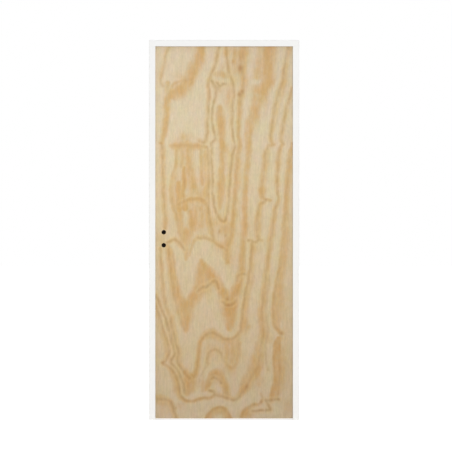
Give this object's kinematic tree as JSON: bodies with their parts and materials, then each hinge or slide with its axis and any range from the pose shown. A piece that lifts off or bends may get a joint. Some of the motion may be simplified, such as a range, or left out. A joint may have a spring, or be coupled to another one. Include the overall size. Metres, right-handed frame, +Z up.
{
  "type": "flush hollow core door in a rebated frame",
  "caption": "Flush hollow core door leaf with pine veneer faces, bored for a handle and key, hung on lift-off hinges in a narrow white painted rebated frame.",
  "frame": {"origin": "floor level, on the wall face of the hinge jamb, in the middle of the lining's depth", "axes": "+Z up, +X out of the hinge jamb into the wall, -Y towards the viewer of the stop side, +Y the way the leaf opens"},
  "size_m": [0.806, 0.0865, 2.04],
  "materials": {
    "painted_lining": "satin white paint",
    "painted_stop": "satin white paint",
    "pine_veneer": "sanded rotary-cut pine veneer",
    "softwood": "planed, unfinished",
    "core_paper": "kraft paper",
    "zinc_steel": "zinc plated",
    "bolt_steel": "nickel plated",
    "hinge_steel": "zinc plated"
  },
  "bodies": {
    "frame": {"hinge_jamb": "painted_lining", "lock_jamb": "painted_lining", "head_jamb": "painted_lining", "hinge_stop": "painted_stop", "lock_stop": "painted_stop", "head_stop": "painted_stop", "strike_plate": "zinc_steel", "lower_hinge_frame_half": "hinge_steel", "lower_hinge_pin": "hinge_steel", "middle_hinge_frame_half": "hinge_steel", "middle_hinge_pin": "hinge_steel", "upper_hinge_frame_half": "hinge_steel", "upper_hinge_pin": "hinge_steel"},
    "leaf": {"front_skin": "pine_veneer", "back_skin": "pine_veneer", "hinge_stile": "softwood", "lock_stile": "softwood", "top_rail": "softwood", "bottom_rail": "softwood", "lock_block": "softwood", "honeycomb_core": "core_paper", "lock_case": "zinc_steel", "lock_forend": "zinc_steel", "latch_bolt": "bolt_steel", "dead_bolt": "bolt_steel", "spindle_follower": "bolt_steel", "lower_hinge_leaf_half": "hinge_steel", "middle_hinge_leaf_half": "hinge_steel", "upper_hinge_leaf_half": "hinge_steel"}
  },
  "joints": [
    {"name": "leaf_swing", "type": "hinge", "parent": "frame", "child": "leaf", "pos_m": [-0.0245, 0.0435, 0], "axis": [0, 0, -1], "range_deg": [0, 180]}
  ]
}
